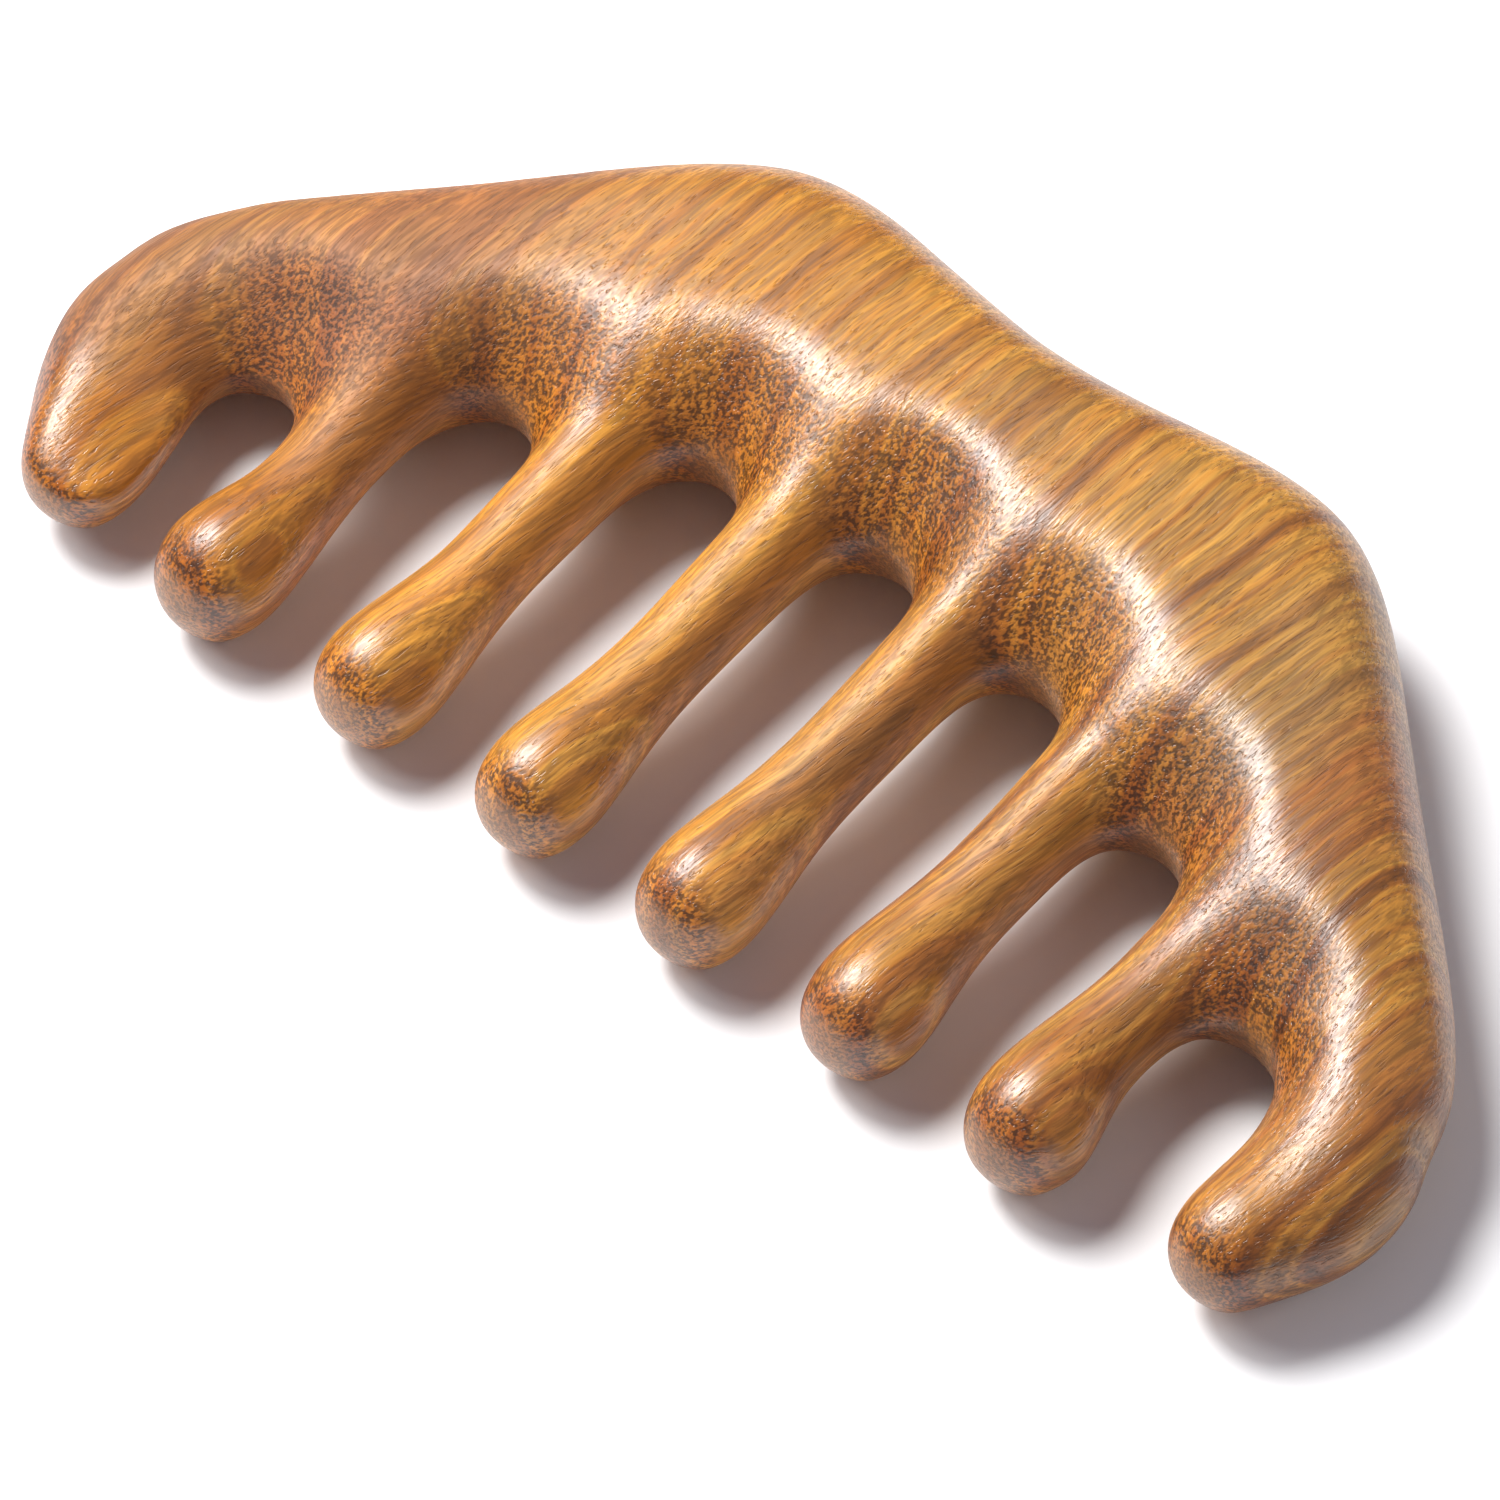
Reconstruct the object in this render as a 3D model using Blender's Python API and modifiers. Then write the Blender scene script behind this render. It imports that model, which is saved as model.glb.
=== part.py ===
"""Wide tooth massage comb, carved from one block of hardwood.

Units are metres, +Z up. The comb lies on its back face: +X runs along the row of teeth,
the teeth point to -Y and the spine is at +Y. The origin is under the middle of the comb,
on the plane that it rests on.

The comb is modelled about its own middle plane, as a coarse quad cage of one half, which
is mirrored in X. Both guard teeth then lean a little to +X. A subdivision surface makes
the soft carved form of the cage. At the end the middle plane is tipped, so that the flat
on the back face lies on Z = 0 and the tips of the round teeth just reach it.
"""

import math

import bmesh
import bpy
from mathutils import Vector

NAME = "wide_tooth_comb"
MM = 0.001

# Row of teeth, in millimetres in the middle plane, with Y = 0 at the tips.
TOOTH_PITCH = 17.8
ROUND_TEETH_PER_SIDE = 3
TIP_WIDTH = 11.8
TIP_THICKNESS = 12.62
SHANK_WIDTH = 7.8
SHANK_THICKNESS = 9.6
NECK_DISTANCE = 15.0

# Slots between the teeth. Their roots follow a parabola, lower towards the ends.
SLOT_RADIUS = 4.8
MIDDLE_ROOT_Y = 41.6
ROOT_DROP = 18.4
WEB_THICKNESS = 7.8

# Outline of one side, from the middle of the back to the widest part of the guard
# tooth and on to its tip.
OUTLINE = (
    (0.0, 67.9),
    (11.0, 69.1),
    (22.0, 70.6),
    (31.5, 69.4),
    (40.5, 62.8),
    (50.4, 53.0),
    (58.6, 45.2),
    (66.6, 37.3),
    (72.4, 29.2),
    (74.0, 19.8),
    (72.2, 12.0),
    (68.8, 6.8),
)
CORNER_X = 66.6

# Both faces are planes that spread from the middle plane, from the tips to the back.
SPINE_THICKNESS = 19.6
SPINE_THICKEST_Y = 54.0
EDGE_ROUNDING = 7.6
EDGE_INSET = 2.8

# Hollows carved above the slot roots, and the crests between them, which sink to the teeth.
SCOOP_HALF_WIDTH = 9.4
SCOOP_HEIGHT = 10.5
CREST_HEIGHT = 7.5
CREST_DROP = 2.3

# Slope of the front face against its plane, from the top of the hollows to the back.
CROWN_SLOPE = 0.15

# Guard tooth at each end.
GUARD_TIP_X = 63.0
GUARD_TIP_Y = 2.0
GUARD_TIP_THICKNESS = 11.6
GUARD_OUTER_LENGTH = 15.0
GUARD_ROOT_LENGTH = 4.0

# The carver left both guard teeth a little further to +X than a mirror image would be.
GUARD_LEAN = 2.0
LEAN_FROM_X = (50.0, 57.0)
LEAN_BELOW_Y = (28.0, 10.0)

# Cage rows, as shares of a tooth's length or of the way from the slot roots to the back.
TOOTH_ROWS = (0.0, 0.16, 0.34, 0.52, 0.7, 0.86, 1.0)
GUARD_ROWS = (0.0, 0.33, 0.67, 1.0)
BODY_ROWS = (0.0, 0.14, 0.27, 0.39, 0.51, 0.63, 0.75, 0.87, 1.0)
# Rows of the back face that stay in its plane, for the comb to lie on.
FLAT_ROWS = (0.39, 0.75)

# A cage stands outside the round form that the subdivision makes from it, and further
# outside at the tips of the round teeth, which are round both ways.
CAGE_SWELL = 1.1
TIP_SWELL = 1.03
SECTION_CORNER = 0.74
CAP_EDGE = math.sqrt(1.0 / 2.0)
CAP_CORNER = math.sqrt(1.0 / 3.0)
ROOT_DIAGONAL = math.sqrt(1.0 / 2.0)
MERGE_DISTANCE = 0.01


def smooth_step(value):
    """Return 0 below 0 and 1 above 1, with a smooth change between."""
    share = min(max(value, 0.0), 1.0)
    return share * share * (3.0 - 2.0 * share)


def mix(start, end, share):
    """Return the number or vector at a share of the way from start to end."""
    return start + (end - start) * share


def face_slope():
    """Return the slope of a face against the middle plane."""
    rise = 0.5 * (SPINE_THICKNESS - TIP_THICKNESS)
    return rise / (SPINE_THICKEST_Y - 0.5 * TIP_WIDTH)


def face_height(y):
    """Return the height of the uncarved face above the middle plane."""
    return 0.5 * SPINE_THICKNESS + face_slope() * (y - SPINE_THICKEST_Y)


def root_y(slot):
    """Return the height of the root of a slot above the tips."""
    return MIDDLE_ROOT_Y - ROOT_DROP * (slot / ROUND_TEETH_PER_SIDE) ** 2


def carving_depth(point):
    """Return how far the hollows and crests above the slot roots lie below the face.

    Each hollow runs out evenly from the root of its slot, like one side of a cone.
    """
    above_roots = max(point.y - root_y(point.x / TOOTH_PITCH), 0.0)
    depth = CREST_DROP * max(1.0 - above_roots / CREST_HEIGHT, 0.0)
    for slot in range(ROUND_TEETH_PER_SIDE + 1):
        across = (point.x - slot * TOOTH_PITCH) / SCOOP_HALF_WIDTH
        along = max(point.y - root_y(slot), 0.0) / SCOOP_HEIGHT
        full_depth = face_height(root_y(slot)) - 0.5 * WEB_THICKNESS
        depth = max(depth, full_depth * (1.0 - math.hypot(across, along)))
    return depth


def crown_depth(point):
    """Return how far the front face falls below its plane on the way to the back."""
    above_roots = point.y - root_y(point.x / TOOTH_PITCH)
    return CROWN_SLOPE * max(above_roots - SCOOP_HEIGHT, 0.0)


class Outline:
    """A Catmull-Rom curve through the outline's points, measured along its length."""

    def __init__(self, points, steps=12):
        knots = [Vector(point) for point in points]
        mirrored = Vector((-knots[1].x, knots[1].y))
        knots = [mirrored] + knots + [2.0 * knots[-1] - knots[-2]]
        self.points = []
        for index in range(1, len(knots) - 2):
            before, start, end, after = knots[index - 1:index + 3]
            for step in range(steps):
                share = step / steps
                linear = (end - before) * share
                square = (2.0 * before - 5.0 * start + 4.0 * end - after) * share ** 2
                cube = (3.0 * start - before - 3.0 * end + after) * share ** 3
                self.points.append(0.5 * (2.0 * start + linear + square + cube))
        self.points.append(knots[-2])
        self.lengths = [0.0]
        for start, end in zip(self.points, self.points[1:]):
            self.lengths.append(self.lengths[-1] + (end - start).length)
        self.directions = [Vector((1.0, 0.0))]
        for before, after in zip(self.points, self.points[2:]):
            self.directions.append((after - before).normalized())
        self.directions.append((self.points[-1] - self.points[-2]).normalized())

    def length_at_x(self, x):
        """Return the length from the middle of the back to the first point at x."""
        index = 1
        while self.points[index].x < x:
            index += 1
        start, end = self.points[index - 1], self.points[index]
        share = (x - start.x) / (end.x - start.x)
        return mix(self.lengths[index - 1], self.lengths[index], share)

    def at(self, length, inset=0.0):
        """Return the point at a length along the outline, moved inwards by inset."""
        index = 1
        while index < len(self.lengths) - 1 and self.lengths[index] < length:
            index += 1
        start, end = self.points[index - 1], self.points[index]
        share = (length - self.lengths[index - 1]) / (end - start).length
        along = mix(self.directions[index - 1], self.directions[index], share).normalized()
        inwards = Vector((along.y, -along.x))
        return mix(start, end, share) + inwards * inset

    def distance(self, point):
        """Return the distance from a point inside to the outline."""
        return min((point - place).length for place in self.points)


class Cage:
    """A cage of two faces, front and back, that share a rim in the middle plane."""

    def __init__(self):
        self.mesh = bmesh.new()
        self.rim = []
        self.edge = []
        self.side = 1.0

    def start_face(self, side):
        """Start the front face, with side 1, or the back face, with side -1."""
        self.side = side
        self.edge = []

    def vertex(self, point, height):
        return self.mesh.verts.new((point.x, point.y, self.side * height))

    def face(self, corners):
        """Add a face whose corners run anticlockwise as seen from the front."""
        self.mesh.faces.new(corners if self.side > 0.0 else corners[::-1])

    def strip(self, lower_row, upper_row):
        """Fill the strip between two rows of vertices that run towards +X."""
        for index in range(len(lower_row) - 1):
            self.face((
                lower_row[index],
                lower_row[index + 1],
                upper_row[index + 1],
                upper_row[index]))

    def join_rim(self, inner, point):
        """Pair a vertex at the edge of a face with the next one of the rim."""
        if len(self.edge) == len(self.rim):
            self.rim.append(self.vertex(point, 0.0))
        self.edge.append(inner)

    def close_face(self):
        """Fill the strip between the edge of a face and the rim."""
        for index in range(len(self.edge) - 1):
            self.face((
                self.edge[index],
                self.edge[index + 1],
                self.rim[index + 1],
                self.rim[index]))


def round_tooth_stations(tooth):
    """Return the left edge, right edge and half thickness of a round tooth at each row."""
    x = (tooth + 0.5) * TOOTH_PITCH
    tip_y = 0.5 * TIP_WIDTH
    root_width = TOOTH_PITCH - 2.0 * SLOT_RADIUS
    stations = []
    for share in TOOTH_ROWS:
        left_y = mix(tip_y, root_y(tooth) - SLOT_RADIUS, share)
        right_y = mix(tip_y, root_y(tooth + 1) - SLOT_RADIUS, share)
        y = 0.5 * (left_y + right_y)
        neck = smooth_step((y - tip_y) / NECK_DISTANCE)
        flare = smooth_step(1.6 * share - 0.6)
        width = mix(mix(TIP_WIDTH, SHANK_WIDTH, neck), root_width, flare)
        shank = mix(0.5 * TIP_THICKNESS * TIP_SWELL, 0.5 * SHANK_THICKNESS, neck)
        crest = (face_height(y) - CREST_DROP) / CAGE_SWELL
        left = Vector((x - 0.5 * width, left_y))
        right = Vector((x + 0.5 * width, right_y))
        stations.append((left, right, mix(shank, crest, flare)))
    return stations


def guard_tooth_stations(outline):
    """Return the stations of the guard tooth, whose outer edge is the outline."""
    tip_left = Vector((GUARD_TIP_X - 0.5 * TIP_WIDTH, GUARD_TIP_Y + 0.5 * TIP_WIDTH))
    root_left = Vector((
        ROUND_TEETH_PER_SIDE * TOOTH_PITCH + SLOT_RADIUS,
        root_y(ROUND_TEETH_PER_SIDE) - SLOT_RADIUS))
    stations = []
    for share in GUARD_ROWS:
        left = mix(tip_left, root_left, share)
        right = outline.at(outline.lengths[-1] - GUARD_OUTER_LENGTH * share)
        face = face_height(0.5 * (left.y + right.y)) / CAGE_SWELL
        half_thickness = mix(0.5 * GUARD_TIP_THICKNESS, face, smooth_step(share))
        stations.append((left, right, half_thickness))
    return stations


def add_tooth(cage, stations, root_vertices):
    """Add one face of a tooth, from its tip up to three vertices of the body."""
    rows = []
    rims = []
    for left, right, half_thickness in stations:
        centre = mix(left, right, 0.5)
        reach = (right - centre) * CAGE_SWELL
        top = half_thickness * CAGE_SWELL
        rows.append([
            cage.vertex(centre - reach * SECTION_CORNER, top * SECTION_CORNER),
            cage.vertex(centre, top),
            cage.vertex(centre + reach * SECTION_CORNER, top * SECTION_CORNER)])
        rims.append((centre - reach, centre + reach))

    left, right, half_thickness = stations[0]
    centre = mix(left, right, 0.5)
    across = (right - centre) * CAGE_SWELL
    down = Vector((across.y, -across.x))
    top = half_thickness * CAGE_SWELL
    cap = [
        cage.vertex(centre + (down - across) * CAP_CORNER, top * CAP_CORNER),
        cage.vertex(centre + down * CAP_EDGE, top * CAP_EDGE),
        cage.vertex(centre + (down + across) * CAP_CORNER, top * CAP_CORNER)]

    for lower, upper in zip([cap] + rows, rows + [root_vertices]):
        cage.strip(lower, upper)
    for row, (_, right) in zip(reversed(rows), reversed(rims)):
        cage.join_rim(row[2], right)
    cage.join_rim(cap[2], centre + (down + across) * CAP_EDGE)
    cage.join_rim(cap[1], centre + down)
    cage.join_rim(cap[0], centre + (down - across) * CAP_EDGE)
    for row, (left, _) in zip(rows, rims):
        cage.join_rim(row[0], left)


def root_corner(slot, side, radius):
    """Return a point at 45 degrees on the round root of a slot."""
    centre = Vector((slot * TOOTH_PITCH, root_y(slot) - SLOT_RADIUS))
    return centre + Vector((side, 1.0)) * radius * ROOT_DIAGONAL


def lowest_body_row(outline, guard_length):
    """Return the points of the body's lowest row, from the middle to the end."""
    reach = SLOT_RADIUS + EDGE_INSET
    row = []
    for slot in range(ROUND_TEETH_PER_SIDE + 1):
        row.append(Vector((slot * TOOTH_PITCH, root_y(slot) + EDGE_INSET)))
        left = root_corner(slot, 1.0, reach)
        if slot < ROUND_TEETH_PER_SIDE:
            right = root_corner(slot + 1, -1.0, reach)
        else:
            right = outline.at(guard_length, EDGE_INSET)
        row += [left, mix(left, right, 0.5), right]
    return row


def add_body(cage, outline, back_lengths, guard_length):
    """Add one face of the body above the slot roots, and return its lowest row."""
    lowest = lowest_body_row(outline, guard_length)
    highest = [outline.at(length, EDGE_INSET) for length in back_lengths]
    end_lengths = [mix(guard_length, back_lengths[-1], share) for share in BODY_ROWS]
    rows = []
    for share, end_length in zip(BODY_ROWS, end_lengths):
        points = [mix(low, high, share) for low, high in zip(lowest, highest)]
        points[-1] = outline.at(end_length, EDGE_INSET)
        is_flat = cage.side < 0.0 and FLAT_ROWS[0] <= share <= FLAT_ROWS[1]
        row = []
        for point in points:
            inside = min(outline.distance(point) / EDGE_ROUNDING, 1.0)
            rounding = math.sqrt(1.0 - (1.0 - inside) ** 2)
            depth = carving_depth(point)
            if cage.side > 0.0:
                depth += crown_depth(point)
            height = (face_height(point.y) - depth) * rounding
            if is_flat and inside == 1.0:
                height = face_height(point.y)
            row.append(cage.vertex(point, height))
        rows.append(row)
    for lower, upper in zip(rows, rows[1:]):
        cage.strip(lower, upper)
    for vertex, length in zip(rows[-1], back_lengths):
        cage.join_rim(vertex, outline.at(length))
    for row, length in list(zip(rows, end_lengths))[-2::-1]:
        cage.join_rim(row[-1], outline.at(length))
    return rows[0]


def add_face(cage, outline):
    """Add one whole face of the comb, running its edge from the back round to the middle."""
    columns = 4 * (ROUND_TEETH_PER_SIDE + 1)
    back_lengths = [
        outline.length_at_x(CORNER_X * column / (columns - 1)) for column in range(columns)]
    guard_length = outline.lengths[-1] - GUARD_OUTER_LENGTH - GUARD_ROOT_LENGTH
    body_row = add_body(cage, outline, back_lengths, guard_length)
    add_tooth(cage, guard_tooth_stations(outline), body_row[-3:])
    reach = SLOT_RADIUS * CAGE_SWELL
    for slot in range(ROUND_TEETH_PER_SIDE, -1, -1):
        column = 4 * slot
        cage.join_rim(body_row[column + 1], root_corner(slot, 1.0, reach))
        cage.join_rim(body_row[column], Vector((slot * TOOTH_PITCH, root_y(slot))))
        if slot > 0:
            cage.join_rim(body_row[column - 1], root_corner(slot, -1.0, reach))
            add_tooth(cage, round_tooth_stations(slot - 1), body_row[column - 3:column])
    cage.close_face()


def lean_guards(mesh):
    """Move the guard teeth of a whole cage towards +X."""
    for vertex in mesh.verts:
        outwards = (abs(vertex.co.x) - LEAN_FROM_X[0]) / (LEAN_FROM_X[1] - LEAN_FROM_X[0])
        downwards = (vertex.co.y - LEAN_BELOW_Y[0]) / (LEAN_BELOW_Y[1] - LEAN_BELOW_Y[0])
        vertex.co.x += GUARD_LEAN * smooth_step(outwards) * smooth_step(downwards)


def comb_cage():
    """Return the cage of the comb, in millimetres."""
    outline = Outline(OUTLINE)
    cage = Cage()
    for side in (1.0, -1.0):
        cage.start_face(side)
        add_face(cage, outline)
    half = cage.mesh.verts[:] + cage.mesh.edges[:] + cage.mesh.faces[:]
    bmesh.ops.mirror(cage.mesh, geom=half, axis="X", merge_dist=MERGE_DISTANCE)
    bmesh.ops.recalc_face_normals(cage.mesh, faces=cage.mesh.faces)
    lean_guards(cage.mesh)
    return cage.mesh


def wood_material():
    """Return the polished golden brown wood."""
    material = bpy.data.materials.new("polished_wood")
    material.use_nodes = True
    shader = material.node_tree.nodes["Principled BSDF"]
    shader.inputs["Base Color"].default_value = (0.45, 0.20, 0.06, 1.0)
    shader.inputs["Roughness"].default_value = 0.35
    shader.inputs["Metallic"].default_value = 0.0
    return material


def add_comb(collection):
    """Add the comb, with its back face level."""
    cage = comb_cage()
    bmesh.ops.scale(cage, verts=cage.verts, vec=(MM, MM, MM))
    mesh = bpy.data.meshes.new("comb_body")
    cage.to_mesh(mesh)
    cage.free()
    mesh.shade_smooth()
    mesh.materials.append(wood_material())

    comb = bpy.data.objects.new("comb_body", mesh)
    collection.objects.link(comb)
    form = comb.modifiers.new("soft_form", "SUBSURF")
    form.levels = 1
    form.render_levels = 1
    comb.rotation_euler.x = math.atan(face_slope())
    return comb


def set_down(comb):
    """Move the comb until it stands on Z = 0, with its middle over the origin."""
    bpy.context.view_layer.update()
    form = comb.evaluated_get(bpy.context.evaluated_depsgraph_get())
    points = [comb.matrix_world @ vertex.co for vertex in form.data.vertices]
    lowest = Vector(min(point[axis] for point in points) for axis in range(3))
    highest = Vector(max(point[axis] for point in points) for axis in range(3))
    middle = mix(lowest, highest, 0.5)
    comb.location = (-middle.x, -middle.y, -lowest.z)


def main():
    for item in list(bpy.data.objects):
        bpy.data.objects.remove(item)
    collection = bpy.data.collections.new(NAME)
    bpy.context.scene.collection.children.link(collection)
    set_down(add_comb(collection))


main()
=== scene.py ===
"""The looks of a wide tooth comb of polished hardwood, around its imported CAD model.

Units are metres in the CAD frame: +X runs along the row of teeth, -Y is the way that the
teeth point and +Z is up. The comb lies on the floor at Z = 0.
"""

import math

import bmesh
import bpy
from mathutils import Matrix, Vector, noise


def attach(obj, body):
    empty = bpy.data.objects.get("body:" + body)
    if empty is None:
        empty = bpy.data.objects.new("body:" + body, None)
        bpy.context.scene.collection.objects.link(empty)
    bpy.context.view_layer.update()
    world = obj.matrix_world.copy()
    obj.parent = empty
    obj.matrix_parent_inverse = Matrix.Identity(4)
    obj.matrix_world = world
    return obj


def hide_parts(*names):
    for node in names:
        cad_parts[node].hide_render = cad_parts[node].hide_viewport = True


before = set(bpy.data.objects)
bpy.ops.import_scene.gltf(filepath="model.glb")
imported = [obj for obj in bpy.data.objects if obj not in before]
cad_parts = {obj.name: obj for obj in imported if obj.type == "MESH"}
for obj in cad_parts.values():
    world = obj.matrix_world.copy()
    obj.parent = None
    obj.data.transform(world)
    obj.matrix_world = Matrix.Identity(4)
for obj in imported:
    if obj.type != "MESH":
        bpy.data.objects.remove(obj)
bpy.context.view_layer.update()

MM = 0.001
NODE = "comb_body"
SLOT = "polished_wood"

# Camera, at the photograph's viewing angle.
CAMERA_AZIMUTH = 39.92
CAMERA_ELEVATION = 53.84
CAMERA_DISTANCE = 1.2925
VIEW_WIDTH = 0.12688
AIM_RIGHT = -0.00802
AIM_UP = -0.01011
AIM_HEIGHT = 0.008
SENSOR_WIDTH = 36.0

# Three studio lights, as seen from the camera: their directions over the floor,
# counterclockwise from the right of the picture, and their height angles. The key light
# casts the shadows, the fill light softens them, and the soft box is the only one that
# the polished wood reflects.
KEY_DIRECTION = 152.0
KEY_ELEVATION = 46.0
KEY_SIZE = 0.95
KEY_POWER = 12.5
BOX_DIRECTION = 137.0
BOX_ELEVATION = 57.0
BOX_SIZE = 0.56
BOX_POWER = 17.0
FILL_DIRECTION = -15.0
FILL_ELEVATION = 35.0
FILL_SIZE = 0.8
FILL_POWER = 3.0
LIGHT_DISTANCE = 1.2
SKY_COLOR = (0.90, 0.81, 1.0)
SKY_STRENGTH = 0.18
FLOOR_HALF_WIDTH = 2.0
FLOOR_COLOR = (0.9, 0.9, 0.9, 1.0)
FLOOR_ROUGHNESS = 0.9
FLOOR_SPECULAR = 0.1

# Wood. The fibres lie close to +Y, turned a little towards +X, and wave a little: each
# wave has a scale in turns to the millimetre and a reach in millimetres.
FIBRE_TURN = 7.0
PITH_X = -110.0
PITH_Z = -40.0
RING_WIDTH = 20.4
WAVES = ((0.035, 6.0), (0.16, 1.0))
WAVE_STRETCH = (1.0, 0.55, 1.0)

# Patterns in the wood: each has a number of lumps in a millimetre, and the share of it
# that counts along each axis of the wood. A small share makes long lumps.
BAND_SCALE = 0.42
UNEVEN_RINGS = (0.04, (1.0, 0.4, 1.0))
RED_PATCHES = (0.05, (1.0, 0.5, 1.0))
OLIVE_PATCHES = (0.07, (1.0, 0.3, 1.0))
OLIVE_OFFSET = (31.0, 7.0, 13.0)
STREAKS = (1.0, (1.0, 0.06, 1.0))
LINES = (3.3, (1.0, 0.07, 1.0))
DOTS = (3.3, (1.0, 0.35, 1.0))
PORES = (4.4, (1.0, 0.10, 1.0))

# Soft changes: each has the two ends of a range, and what it gives at each end.
BAND_CALM = (-15.0, 25.0, 0.35, 0.0)
RING_STRENGTH = (0.35, 0.65, 0.15, 0.75)
RED_SHARE = (0.54, 0.72, 0.0, 0.5)
OLIVE_SHARE = (0.52, 0.72, 0.0, 0.6)
OLIVE_TO_THE_RIGHT = (-20.0, 30.0, 0.3, 1.0)
SHANKS_DULL = (-9.0, 1.0, 1.0, 0.0)
LEFT_END_DULL = (-52.0 * MM, -28.0 * MM, 1.8, 0.0)
TIPS_POLISHED = (-24.0 * MM, -18.0 * MM, 0.0, 1.0)
TEETH_LIGHTER = (-10.0, 12.0, 1.12, 0.92)
STIPPLE_TO_TIPS = (0.14, 0.58, 0.0, 1.0)
STIPPLE_TO_BACK = (0.3, 0.9, 0.0, 0.35)
GREY_TIPS = (0.70, 0.98, 0.0, 0.45)
STREAK_LIGHT = (0.30, 0.70, 0.80, 1.16)
FIBRE_EDGE = (0.38, 0.62, 0.0, 1.0)
FIBRE_ROUGHNESS = (0.3, 0.7, 0.40, 0.31)
PORE_EDGE = (0.60, 0.72, 0.0, 1.0)

# How light the dark and the light fibres are on side grain, and the change on end grain.
DARK_FIBRE = 0.80
DARK_FIBRE_CHANGE = -0.46
LIGHT_FIBRE = 1.18
LIGHT_FIBRE_CHANGE = 0.45

# Colours of the wood and a painted shade, as tables from one end of a range to the other or one by
# one.
BAND_COLORS = (
    (0.28, (0.200, 0.072, 0.014)),
    (0.40, (0.310, 0.116, 0.018)),
    (0.48, (0.430, 0.184, 0.026)),
    (0.56, (0.530, 0.265, 0.044)),
    (0.64, (0.360, 0.165, 0.028)),
    (0.74, (0.450, 0.205, 0.036)))
RING_TONES = (
    (0.00, (0.62, 0.47, 0.42)),
    (0.22, (0.76, 0.64, 0.58)),
    (0.55, (0.96, 0.93, 0.90)),
    (0.97, (1.00, 1.00, 1.00)),
    (1.00, (0.62, 0.47, 0.42)))
# Painted shade towards both ends of the comb, darkest at the left end, with a warmer tint there.
END_PAINTED_SHADE = (
    (0.00, (0.58, 0.48, 0.34)),
    (0.12, (0.78, 0.65, 0.42)),
    (0.30, (1.00, 0.92, 0.70)),
    (0.55, (1.0, 1.0, 1.0)),
    (1.00, (0.84, 0.82, 0.82)))
END_SHADE_LENGTH = 150.0
CALM_COLOR = (0.450, 0.202, 0.030)
RED_COLOR = (0.370, 0.130, 0.040)
OLIVE_COLOR = (0.290, 0.160, 0.048)
OILED_TONE = (0.66, 0.53, 0.39)
TIP_COLOR = (0.320, 0.165, 0.075)
PORE_COLOR = (0.110, 0.045, 0.016)
PORE_STRENGTH = 0.45

# Surface of the wood.
WOOD_IOR = 1.75
SHEEN_WEIGHT = 0.04
SHEEN_ROUGHNESS = 0.4
SHEEN_TINT = (1.0, 0.95, 0.93, 1.0)
DULL_ROUGHNESS = 0.16
PORE_HEIGHT = -0.6
BUMP_STRENGTH = 0.5
BUMP_DEPTH = 0.0001

# The fine form: the CAD mesh's triangles are joined to quads within these angles in
# degrees, and then divided this many times.
MERGE_DISTANCE = 0.001 * MM
FACE_ANGLE = 60.0
SHAPE_ANGLE = 70.0
FORM_LEVELS = 2
FRONT_SHARPNESS = 2.0

# Hand carving, in millimetres: waves in the surface, each with a scale in turns to the
# millimetre and a reach, and the top of the left guard tooth, which slants to its slot.
CARVING = ((0.045, 0.30), (0.14, 0.10), (0.4, 0.025))
GUARD_SLANT = 3.0
GUARD_OUTER_X = -71.0
GUARD_INNER_X = -57.0
SLOT_MIDDLE_X = -50.0
GUARD_TOP_Y = 2.0
GUARD_FADE = 22.0
GUARD_MIDDLE_Z = 7.0

# Hollows above the slots, in millimetres: the slots' places, and how far each hollow is
# cut deeper than its CAD solid, most at the root of its slot.
SLOT_PITCH = 17.8
SLOT_MIDDLE = -0.95
SLOT_ROOT_Y = 7.1
SLOT_DROP = 18.4
SLOTS_PER_SIDE = 3
HOLLOW_DEPTH = 1.8
HOLLOW_WIDTH = 9.0
HOLLOW_HEIGHT = 11.0
HOLLOW_FADE = 9.0

# The shoulders of the hollows are worn round by this many rounds of smoothing, from a
# little below the slot roots to a little above the hollows, in millimetres.
WEAR_ROUNDS = 75
WEAR_FACTOR = 0.5
WEAR_BELOW = 7.0
WEAR_ABOVE = 20.0
WEAR_FADE = 5.0


def camera_axes():
    """Return the camera's right, up and backward directions."""
    azimuth = math.radians(CAMERA_AZIMUTH)
    elevation = math.radians(CAMERA_ELEVATION)
    back = Vector((
        math.sin(azimuth) * math.cos(elevation),
        -math.cos(azimuth) * math.cos(elevation),
        math.sin(elevation)))
    right = Vector((math.cos(azimuth), math.sin(azimuth), 0.0))
    return right, back.cross(right), back


def add_camera():
    """Add the camera and make it the scene's."""
    right, up, back = camera_axes()
    aim = Vector((0.0, 0.0, AIM_HEIGHT)) + right * AIM_RIGHT + up * AIM_UP
    place = aim + back * CAMERA_DISTANCE
    data = bpy.data.cameras.new("camera")
    data.sensor_width = SENSOR_WIDTH
    data.lens = SENSOR_WIDTH * CAMERA_DISTANCE / VIEW_WIDTH
    camera = bpy.data.objects.new("camera", data)
    bpy.context.scene.collection.objects.link(camera)
    camera.matrix_world = Matrix.Translation(place) @ Matrix((right, up, back)).transposed().to_4x4()
    bpy.context.scene.camera = camera


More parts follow.
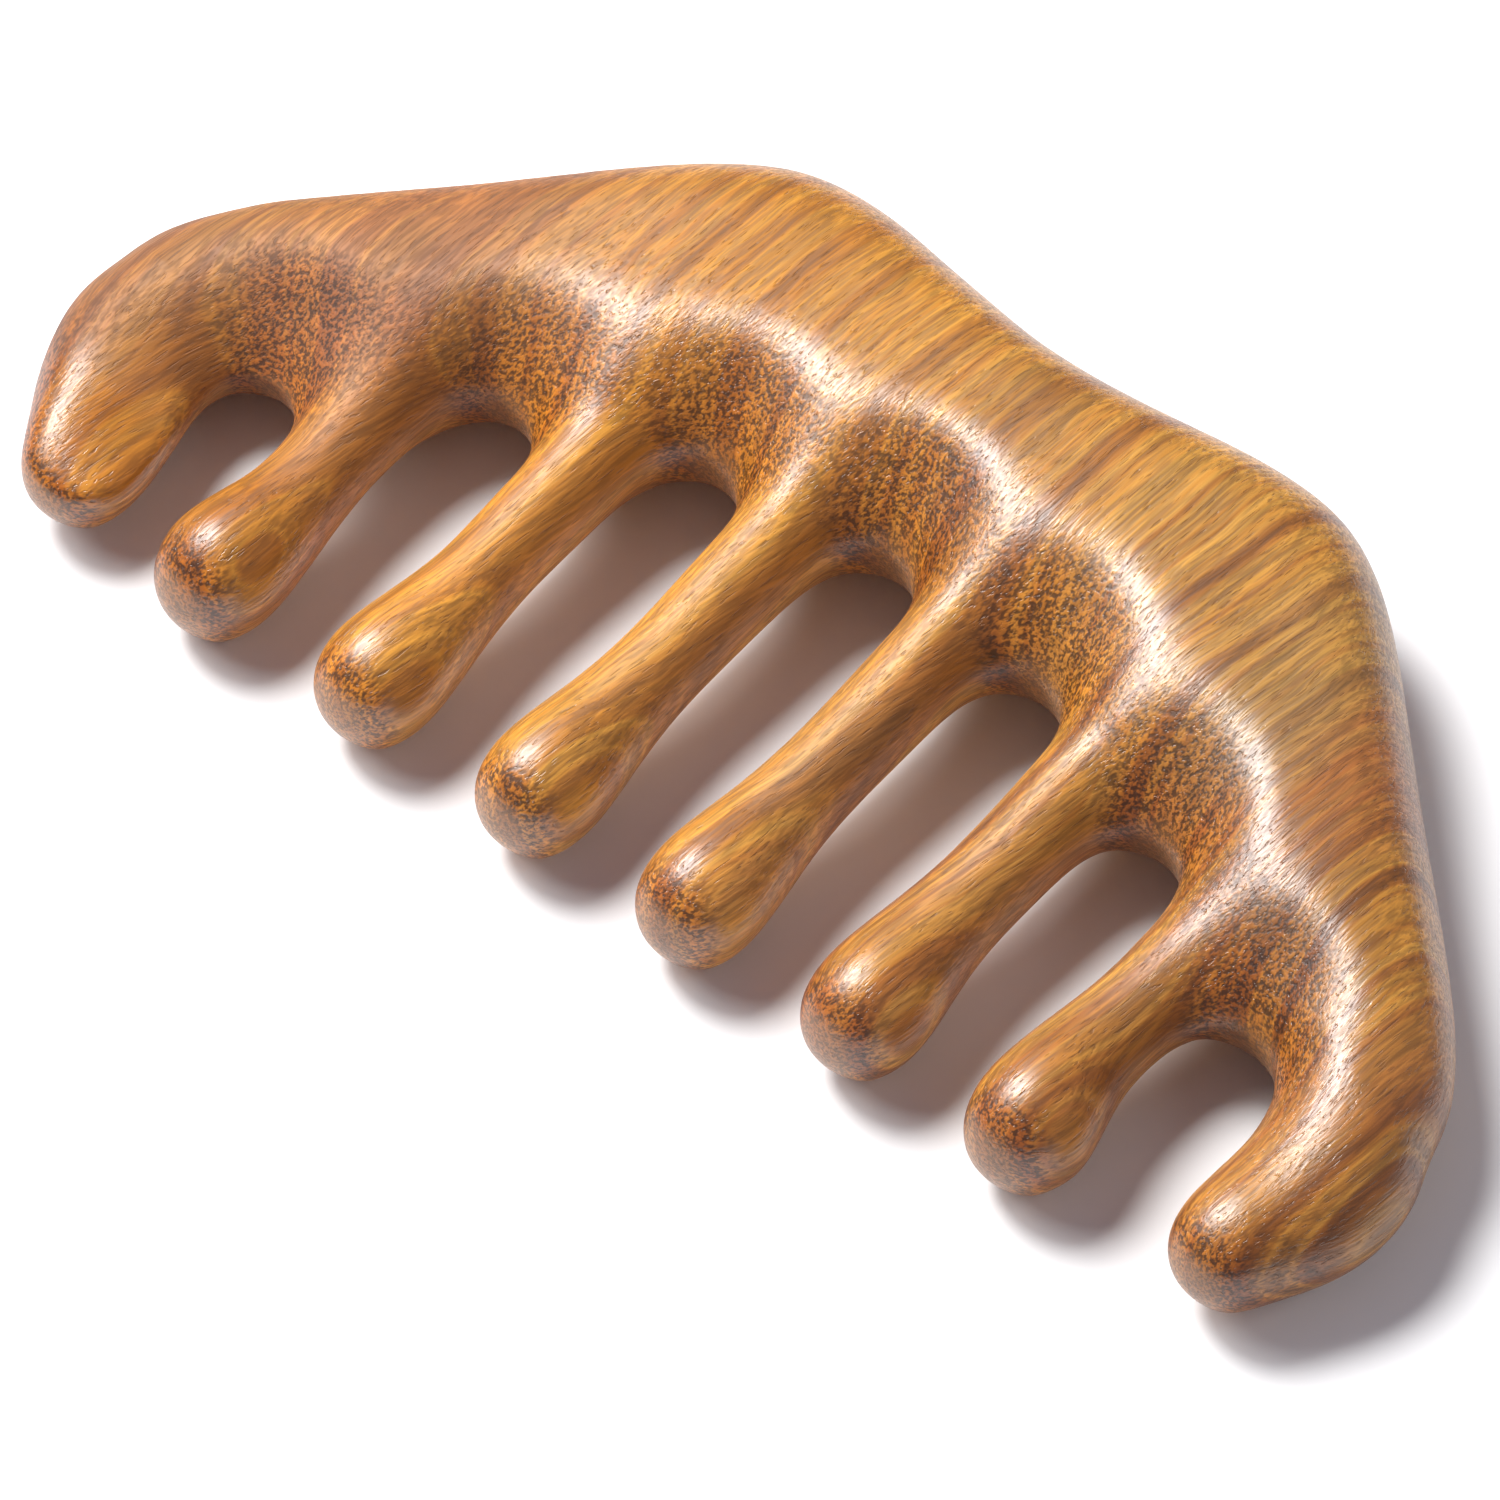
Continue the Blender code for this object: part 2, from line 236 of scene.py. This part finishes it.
def add_light(name, direction, elevation, size, power):
    """Add a round studio light that shines on the comb, and return it."""
    right, _, back = camera_axes()
    away = Vector((-back.x, -back.y, 0.0)).normalized()
    turn = math.radians(direction)
    height = math.radians(elevation)
    level = right * math.cos(turn) + away * math.sin(turn)
    place = level * math.cos(height) + Vector((0.0, 0.0, math.sin(height)))
    data = bpy.data.lights.new(name, "AREA")
    data.shape = "DISK"
    data.size = size
    data.energy = power
    light = bpy.data.objects.new(name, data)
    light.location = place * LIGHT_DISTANCE
    light.rotation_euler = (-place).to_track_quat("-Z", "Y").to_euler()
    bpy.context.scene.collection.objects.link(light)
    return light


def add_lights():
    """Add the soft box, and the key light and the fill light, which aren't reflected."""
    key = add_light("key_light", KEY_DIRECTION, KEY_ELEVATION, KEY_SIZE, KEY_POWER)
    key.visible_glossy = False
    fill = add_light("fill_light", FILL_DIRECTION, FILL_ELEVATION, FILL_SIZE, FILL_POWER)
    fill.visible_glossy = False
    add_light("soft_box", BOX_DIRECTION, BOX_ELEVATION, BOX_SIZE, BOX_POWER)


def add_sky():
    """Surround the scene with even, faintly pink white light."""
    world = bpy.data.worlds.new("studio")
    world.use_nodes = True
    background = world.node_tree.nodes["Background"]
    background.inputs["Color"].default_value = (*SKY_COLOR, 1.0)
    background.inputs["Strength"].default_value = SKY_STRENGTH
    bpy.context.scene.world = world


def add_floor():
    """Add the plain pale floor."""
    mesh = bpy.data.meshes.new("floor")
    cells = bmesh.new()
    bmesh.ops.create_grid(cells, x_segments=1, y_segments=1, size=FLOOR_HALF_WIDTH)
    cells.to_mesh(mesh)
    cells.free()
    floor = bpy.data.objects.new("floor", mesh)
    bpy.context.scene.collection.objects.link(floor)
    material = bpy.data.materials.new("floor")
    material.use_nodes = True
    shader = material.node_tree.nodes["Principled BSDF"]
    shader.inputs["Base Color"].default_value = FLOOR_COLOR
    shader.inputs["Roughness"].default_value = FLOOR_ROUGHNESS
    shader.inputs["Specular IOR Level"].default_value = FLOOR_SPECULAR
    mesh.materials.append(material)


class Nodes:
    """Adds nodes to a material and links them."""

    def __init__(self, material):
        self.tree = material.node_tree

    def add(self, kind, settings=None, **inputs):
        node = self.tree.nodes.new(kind)
        for name, value in (settings or {}).items():
            setattr(node, name, value)
        for name, value in inputs.items():
            key = int(name[1:]) if name[1:].isdigit() else name.replace("_", " ")
            self.put(node.inputs[key], value)
        return node

    def put(self, socket, value):
        if isinstance(value, bpy.types.NodeSocket):
            self.tree.links.new(value, socket)
        else:
            socket.default_value = value

    def math(self, operation, first, second=0.0, third=0.0):
        settings = {"operation": operation}
        return self.add("ShaderNodeMath", settings, _0=first, _1=second, _2=third).outputs[0]

    def vector(self, operation, first, second=(0.0, 0.0, 0.0)):
        return self.add("ShaderNodeVectorMath", {"operation": operation}, _0=first, _1=second)

    def noise(self, vector, scale, stretch, detail, rough=0.5):
        """Return a noise from 0 to 1 with about scale lumps in a millimetre."""
        placed = self.vector("MULTIPLY", vector, stretch).outputs[0]
        node = self.add(
            "ShaderNodeTexNoise", None, Vector=placed, Scale=scale, Detail=detail,
            Roughness=rough)
        return node.outputs["Fac"]

    def ramp(self, value, stops):
        node = self.add("ShaderNodeValToRGB", None, Fac=value)
        elements = node.color_ramp.elements
        elements[0].position = stops[0][0]
        elements[1].position = stops[-1][0]
        for position, _ in stops[1:-1]:
            elements.new(position)
        for element, (_, color) in zip(elements, stops):
            element.color = (*color, 1.0)
        return node.outputs["Color"]

    def span(self, value, low, high, start=0.0, end=1.0):
        """Return value mapped from low..high to start..end, and kept there."""
        node = self.add(
            "ShaderNodeMapRange", {"interpolation_type": "SMOOTHSTEP"}, Value=value)
        for index, number in enumerate((low, high, start, end)):
            node.inputs[index + 1].default_value = number
        return node.outputs[0]

    def mix(self, blend, amount, first, second):
        node = self.add("ShaderNodeMix", {"data_type": "RGBA", "blend_type": blend})
        self.put(node.inputs[0], amount)
        for socket, value in ((node.inputs[6], first), (node.inputs[7], second)):
            self.put(socket, (*value, 1.0) if isinstance(value, tuple) else value)
        return node.outputs[2]


def wood_space(nodes):
    """Return a place in the wood, in millimetres with the fibres along Y."""
    place = nodes.add("ShaderNodeTexCoord").outputs["Object"]
    turn = nodes.add("ShaderNodeMapping", None, Vector=place)
    turn.inputs["Rotation"].default_value = (0.0, 0.0, math.radians(FIBRE_TURN))
    turn.inputs["Scale"].default_value = (1.0 / MM,) * 3
    point = turn.outputs[0]
    for scale, reach in WAVES:
        flat = nodes.vector("MULTIPLY", turn.outputs[0], WAVE_STRETCH).outputs[0]
        wave = nodes.add(
            "ShaderNodeTexNoise", None, Vector=flat, Scale=scale, Detail=1.0).outputs["Color"]
        wave = nodes.vector("SUBTRACT", wave, (0.5, 0.5, 0.5)).outputs[0]
        wave = nodes.vector("MULTIPLY", wave, (reach, 0.0, reach)).outputs[0]
        point = nodes.vector("ADD", point, wave).outputs[0]
    return point


def end_grain(nodes):
    """Return how far the surface faces along the fibres, from 1 at the tips to -1."""
    normal = nodes.add("ShaderNodeTexCoord").outputs["Normal"]
    turned = math.radians(FIBRE_TURN)
    fibre = (-math.sin(turned), -math.cos(turned), 0.0)
    return nodes.vector("DOT_PRODUCT", normal, fibre).outputs["Value"]


def polish_and_tone(nodes):
    """Return how dull the wood is and how light, by its place on the comb.

    The shanks and the left end are duller than the rest, and the teeth lighter.
    """
    place = nodes.add("ShaderNodeTexCoord").outputs["Object"]
    axes = nodes.add("ShaderNodeSeparateXYZ", None, Vector=place).outputs
    across = nodes.math("MULTIPLY_ADD", axes["X"], 1.0 / MM, -SLOT_MIDDLE)
    drop = nodes.math("POWER", nodes.math("DIVIDE", across, SLOTS_PER_SIDE * SLOT_PITCH), 2.0)
    height = nodes.math("MULTIPLY_ADD", axes["Y"], 1.0 / MM, -SLOT_ROOT_Y)
    above_roots = nodes.math("MULTIPLY_ADD", drop, SLOT_DROP, height)
    below = nodes.span(above_roots, *SHANKS_DULL)
    above_tips = nodes.span(axes["Y"], *TIPS_POLISHED)
    tone = nodes.span(above_roots, *TEETH_LIGHTER)
    left_end = nodes.span(axes["X"], *LEFT_END_DULL)
    dull = nodes.math("MULTIPLY", nodes.math("MAXIMUM", below, left_end), above_tips)
    return dull, tone


def ring_color(nodes, grain):
    """Return the colour of the growth rings round the pith, with broad patches in it and painted
    shade towards both ends.
    """
    axes = nodes.add("ShaderNodeSeparateXYZ", None, Vector=grain).outputs
    across = nodes.math("POWER", nodes.math("SUBTRACT", axes["X"], PITH_X), 2.0)
    height = nodes.math("POWER", nodes.math("SUBTRACT", axes["Z"], PITH_Z), 2.0)
    radius = nodes.math("SQRT", nodes.math("ADD", across, height))

    # Fine bands, uneven in width and colour.
    bands = nodes.add(
        "ShaderNodeTexNoise", {"noise_dimensions": "1D"}, W=radius, Scale=BAND_SCALE,
        Detail=3.0, Roughness=0.6).outputs["Fac"]
    color = nodes.ramp(bands, BAND_COLORS)

    # They are fainter towards the left end.
    calm = nodes.span(axes["X"], *BAND_CALM)
    color = nodes.mix("MIX", calm, color, CALM_COLOR)

    # Broad rings: each starts with a sharp dark edge and lightens slowly.
    turns = nodes.math("FRACT", nodes.math("MULTIPLY", radius, 1.0 / RING_WIDTH))
    ring_tone = nodes.ramp(turns, RING_TONES)
    uneven = nodes.noise(grain, *UNEVEN_RINGS, detail=1.0)
    color = nodes.mix("MULTIPLY", nodes.span(uneven, *RING_STRENGTH), color, ring_tone)

    # Redder and more olive patches, and painted shade that darkens both ends, most the left end.
    red = nodes.noise(grain, *RED_PATCHES, detail=3.0)
    color = nodes.mix("MIX", nodes.span(red, *RED_SHARE), color, RED_COLOR)
    moved = nodes.vector("ADD", grain, OLIVE_OFFSET).outputs[0]
    olive = nodes.span(nodes.noise(moved, *OLIVE_PATCHES, detail=3.0), *OLIVE_SHARE)
    to_the_right = nodes.span(axes["X"], *OLIVE_TO_THE_RIGHT)
    olive = nodes.math("MULTIPLY", olive, to_the_right)
    color = nodes.mix("MIX", olive, color, OLIVE_COLOR)
    along = nodes.math("MULTIPLY_ADD", axes["X"], 1.0 / END_SHADE_LENGTH, 0.5)
    return nodes.mix("MULTIPLY", 1.0, color, nodes.ramp(along, END_PAINTED_SHADE))


def wood_material():
    """Return the polished wood: rings, fibres and pores, from the place in the wood."""
    material = bpy.data.materials.new(SLOT)
    material.use_nodes = True
    nodes = Nodes(material)
    shader = material.node_tree.nodes["Principled BSDF"]
    grain = wood_space(nodes)
    cut = end_grain(nodes)
    behind = nodes.span(nodes.math("MULTIPLY", cut, -1.0), *STIPPLE_TO_BACK)
    stipple = nodes.math("ADD", nodes.span(cut, *STIPPLE_TO_TIPS), behind)
    color = ring_color(nodes, grain)

    # Streaks of a few fibres, and the fibres themselves, which are dots on end grain.
    streaks = nodes.noise(grain, *STREAKS, detail=2.0, rough=0.6)
    lines = nodes.noise(grain, *LINES, detail=1.0, rough=0.6)
    dots = nodes.noise(grain, *DOTS, detail=1.0, rough=0.6)
    fibres = nodes.math("MULTIPLY_ADD", stipple, nodes.math("SUBTRACT", dots, lines), lines)
    streak_light = nodes.span(streaks, *STREAK_LIGHT)
    low = nodes.math("MULTIPLY_ADD", stipple, DARK_FIBRE_CHANGE, DARK_FIBRE)
    high = nodes.math("MULTIPLY_ADD", stipple, LIGHT_FIBRE_CHANGE, LIGHT_FIBRE)
    share = nodes.span(fibres, *FIBRE_EDGE)
    fibre_light = nodes.math("MULTIPLY_ADD", share, nodes.math("SUBTRACT", high, low), low)
    dull, tone = polish_and_tone(nodes)
    light = nodes.math("MULTIPLY", nodes.math("MULTIPLY", streak_light, fibre_light), tone)
    light = nodes.add("ShaderNodeCombineXYZ", None, X=light, Y=light, Z=light).outputs[0]
    color = nodes.mix("MULTIPLY", 1.0, color, light)

    # End grain takes more of the oil: it is darker, and greyer at the tips.
    color = nodes.mix("MULTIPLY", stipple, color, OILED_TONE)
    color = nodes.mix("MIX", nodes.span(cut, *GREY_TIPS), color, TIP_COLOR)

    # Pores: short dark dashes along the fibres.
    pores = nodes.span(nodes.noise(grain, *PORES, detail=1.0), *PORE_EDGE)
    color = nodes.mix("MIX", nodes.math("MULTIPLY", pores, PORE_STRENGTH), color, PORE_COLOR)

    shader.inputs["IOR"].default_value = WOOD_IOR
    shader.inputs["Sheen Weight"].default_value = SHEEN_WEIGHT
    shader.inputs["Sheen Roughness"].default_value = SHEEN_ROUGHNESS
    shader.inputs["Sheen Tint"].default_value = SHEEN_TINT
    nodes.put(shader.inputs["Base Color"], color)
    polish = nodes.span(fibres, *FIBRE_ROUGHNESS)
    roughness = nodes.math("MULTIPLY_ADD", dull, DULL_ROUGHNESS, polish)
    nodes.put(shader.inputs["Roughness"], roughness)
    height = nodes.math("MULTIPLY_ADD", pores, PORE_HEIGHT, fibres)
    bump = nodes.add(
        "ShaderNodeBump", None, Height=height, Strength=BUMP_STRENGTH, Distance=BUMP_DEPTH)
    nodes.put(shader.inputs["Normal"], bump.outputs["Normal"])
    return material


def smooth_step(value):
    """Return 0 below 0 and 1 above 1, with a smooth change between."""
    share = min(max(value, 0.0), 1.0)
    return share * share * (3.0 - 2.0 * share)


def on_front(vertex):
    """Return 1 where the surface faces up, down to 0 where it is upright or faces down."""
    return smooth_step(FRONT_SHARPNESS * vertex.normal.z)


def guard_slant(place):
    """Return how far the top of the left guard tooth is cut down towards its slot."""
    inwards = smooth_step((place.x - GUARD_OUTER_X) / (GUARD_INNER_X - GUARD_OUTER_X))
    below_body = smooth_step((GUARD_TOP_Y - place.y) / GUARD_FADE)
    on_top = smooth_step((place.z - GUARD_MIDDLE_Z) / GUARD_MIDDLE_Z)
    beside_slot = smooth_step((SLOT_MIDDLE_X - place.x) / (SLOT_MIDDLE_X - GUARD_INNER_X))
    return GUARD_SLANT * inwards * below_body * on_top * beside_slot


def root_y(slot):
    """Return the height of the slots' roots at a slot, counted from the middle one."""
    return SLOT_ROOT_Y - SLOT_DROP * (slot / SLOTS_PER_SIDE) ** 2


def hollow_depth(place):
    """Return how much deeper the hollow above the nearest slot is cut."""
    slot = round((place.x - SLOT_MIDDLE) / SLOT_PITCH)
    slot = min(max(slot, -SLOTS_PER_SIDE), SLOTS_PER_SIDE)
    above_root = place.y - root_y(slot)
    across = (place.x - SLOT_MIDDLE - slot * SLOT_PITCH) / HOLLOW_WIDTH
    along = max(above_root, 0.0) / HOLLOW_HEIGHT
    below_root = smooth_step(1.0 + above_root / HOLLOW_FADE)
    return HOLLOW_DEPTH * below_root * smooth_step(1.0 - math.hypot(across, along))


def carve_by_hand(mesh):
    """Cut the fine form a little unevenly, as a carver's knife leaves it.

    On the front, the hollows and the left guard tooth are cut deeper too. Every cut goes
    inwards.
    """
    moved = []
    for vertex in mesh.vertices:
        place = vertex.co / MM
        depth = 0.0
        for scale, reach in CARVING:
            depth += reach * (0.5 + 0.5 * noise.noise(place * scale))
        hollow = hollow_depth(place) * on_front(vertex)
        down = Vector((0.0, 0.0, guard_slant(place) + hollow))
        moved.append((place - vertex.normal * depth * smooth_step(place.z) - down) * MM)
    for vertex, place in zip(mesh.vertices, moved):
        vertex.co = place
    mesh.update()


def apply_modifiers(comb):
    """Replace the comb's mesh with its modifiers' result, and drop the old one."""
    before = comb.data
    view = bpy.context.evaluated_depsgraph_get()
    after = bpy.data.meshes.new_from_object(comb.evaluated_get(view))
    comb.modifiers.clear()
    comb.data = after
    bpy.data.meshes.remove(before)


def wear_shoulders(comb):
    """Round the shoulders of the hollows on the front, as years of handling do."""
    group = comb.vertex_groups.new(name="shoulders")
    for vertex in comb.data.vertices:
        place = vertex.co / MM
        above_root = place.y - root_y((place.x - SLOT_MIDDLE) / SLOT_PITCH)
        low = smooth_step((above_root + WEAR_BELOW) / WEAR_FADE)
        high = smooth_step((WEAR_ABOVE - above_root) / WEAR_FADE)
        weight = low * high * on_front(vertex)
        if weight > 0.0:
            group.add([vertex.index], weight, "REPLACE")
    wear = comb.modifiers.new("wear", "SMOOTH")
    wear.factor = WEAR_FACTOR
    wear.iterations = WEAR_ROUNDS
    wear.vertex_group = group.name
    apply_modifiers(comb)
    comb.vertex_groups.clear()


def add_comb():
    """Add the fine carved form, made from the CAD node's mesh."""
    mesh = bmesh.new()
    mesh.from_mesh(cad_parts[NODE].data)
    bmesh.ops.remove_doubles(mesh, verts=mesh.verts, dist=MERGE_DISTANCE)
    bmesh.ops.join_triangles(
        mesh, faces=mesh.faces, angle_face_threshold=math.radians(FACE_ANGLE),
        angle_shape_threshold=math.radians(SHAPE_ANGLE))
    coarse = bpy.data.meshes.new("coarse_comb")
    mesh.to_mesh(coarse)
    mesh.free()
    comb = bpy.data.objects.new("carved_comb", coarse)
    bpy.context.scene.collection.objects.link(comb)
    form = comb.modifiers.new("smooth_form", "SUBSURF")
    form.levels = FORM_LEVELS
    form.render_levels = FORM_LEVELS
    apply_modifiers(comb)
    carve_by_hand(comb.data)
    wear_shoulders(comb)
    comb.data.shade_smooth()
    comb.data.materials.append(wood_material())
    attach(comb, "root")
    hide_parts(NODE)


bpy.context.scene.view_settings.view_transform = "Standard"
add_camera()
add_lights()
add_sky()
add_floor()
add_comb()
